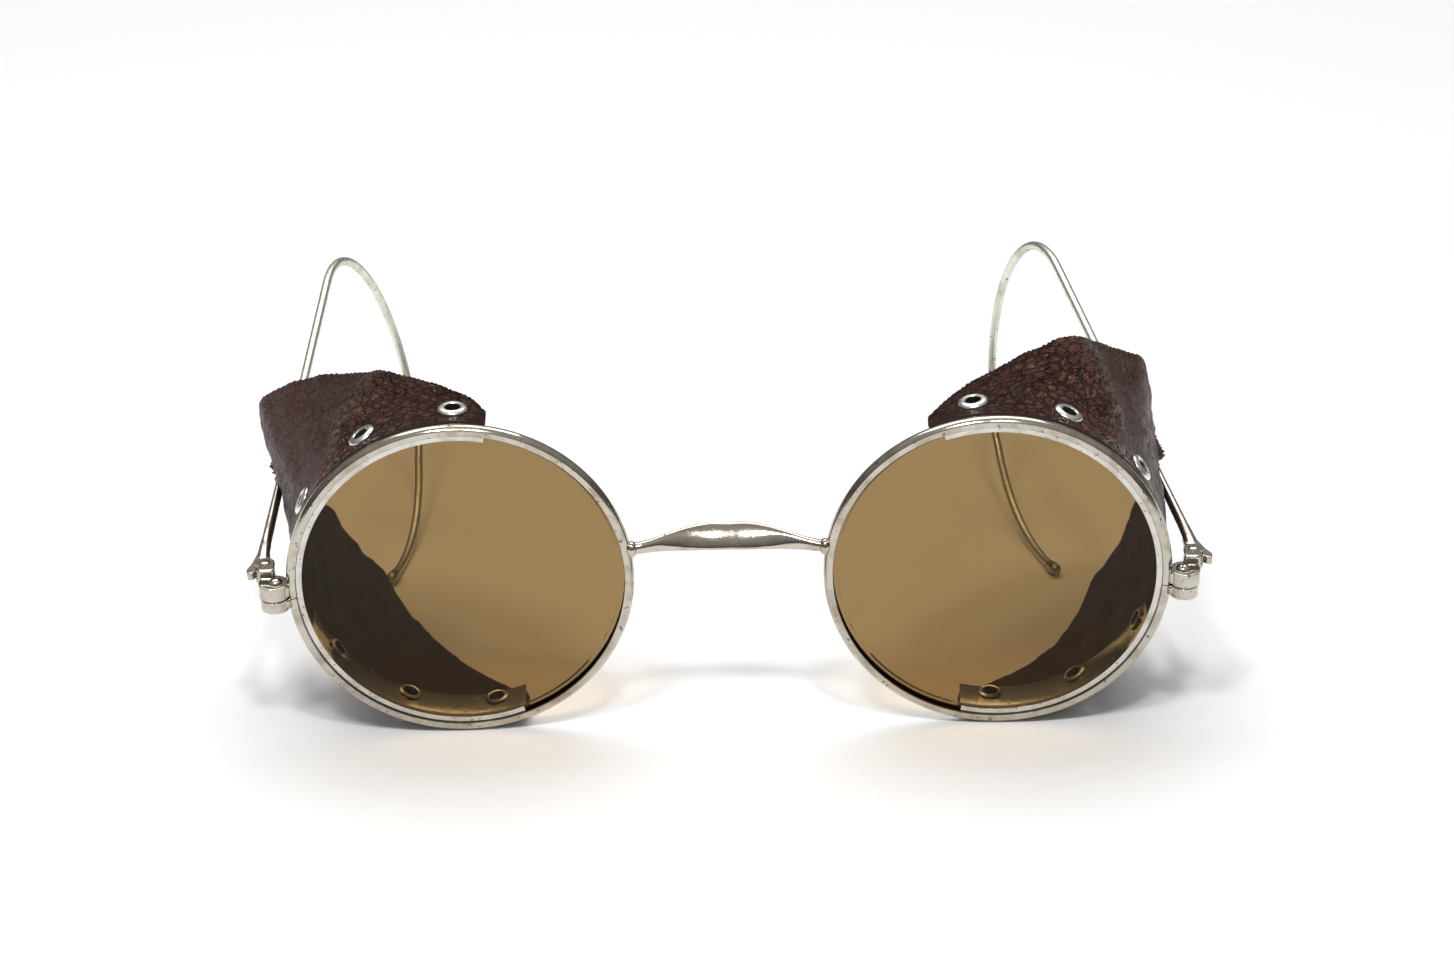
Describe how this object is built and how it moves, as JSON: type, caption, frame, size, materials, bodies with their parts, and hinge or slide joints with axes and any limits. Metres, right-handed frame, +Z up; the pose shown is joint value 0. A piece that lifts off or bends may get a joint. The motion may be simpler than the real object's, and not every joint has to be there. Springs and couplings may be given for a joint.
{
  "type": "glacier glasses",
  "caption": "Round-lens glacier glasses with riveted leather side shields, a saddle bridge and folding wire temples ending in cable ear hooks.",
  "frame": {"origin": "middle of the footprint of the whole object, at floor level", "axes": "+X to the wearer's left, +Y from the lenses back to the ear hooks, +Z up; it stands on the lower edges of both rims and on both ear hooks"},
  "size_m": [0.1286, 0.0892, 0.0478],
  "materials": {
    "frame_metal": "polished nickel silver, lightly tarnished",
    "band_metal": "satin rolled sheet",
    "eyelet_metal": "rolled and lightly worn",
    "tinted_glass": "polished amber-brown tint",
    "shield_leather": "pebbled dark reddish brown, suede inside",
    "cable_metal": "fine close-wound wire, dulled",
    "core_steel": "drawn spring wire"
  },
  "bodies": {
    "front": {"bridge": "frame_metal", "right_eye_wire": "frame_metal", "right_lens": "tinted_glass", "right_shield_band": "band_metal", "right_shield_leather": "shield_leather", "right_eyelets": "eyelet_metal", "right_upper_lug": "frame_metal", "right_lower_lug": "frame_metal", "right_closing_screw": "frame_metal", "right_hinge_pin": "frame_metal", "left_eye_wire": "frame_metal", "left_lens": "tinted_glass", "left_shield_band": "band_metal", "left_shield_leather": "shield_leather", "left_eyelets": "eyelet_metal", "left_upper_lug": "frame_metal", "left_lower_lug": "frame_metal", "left_closing_screw": "frame_metal", "left_hinge_pin": "frame_metal"},
    "right_temple": {"right_temple_bar": "frame_metal", "right_ferrule": "frame_metal", "right_ear_cable": "cable_metal", "right_cable_core": "core_steel", "right_cable_tip": "cable_metal"},
    "left_temple": {"left_temple_bar": "frame_metal", "left_ferrule": "frame_metal", "left_ear_cable": "cable_metal", "left_cable_core": "core_steel", "left_cable_tip": "cable_metal"}
  },
  "joints": [
    {"name": "right_hinge", "type": "hinge", "parent": "front", "child": "right_temple", "pos_m": [-0.06142, -0.0391, 0.02348], "axis": [0, 0.0906, -0.9959], "range_deg": [-4, 75], "deforming": ["right_shield_leather"]},
    {"name": "left_hinge", "type": "hinge", "parent": "front", "child": "left_temple", "pos_m": [0.06178, -0.0391, 0.02348], "axis": [0, -0.0906, 0.9959], "range_deg": [-12, 58], "deforming": ["left_shield_leather"]}
  ]
}
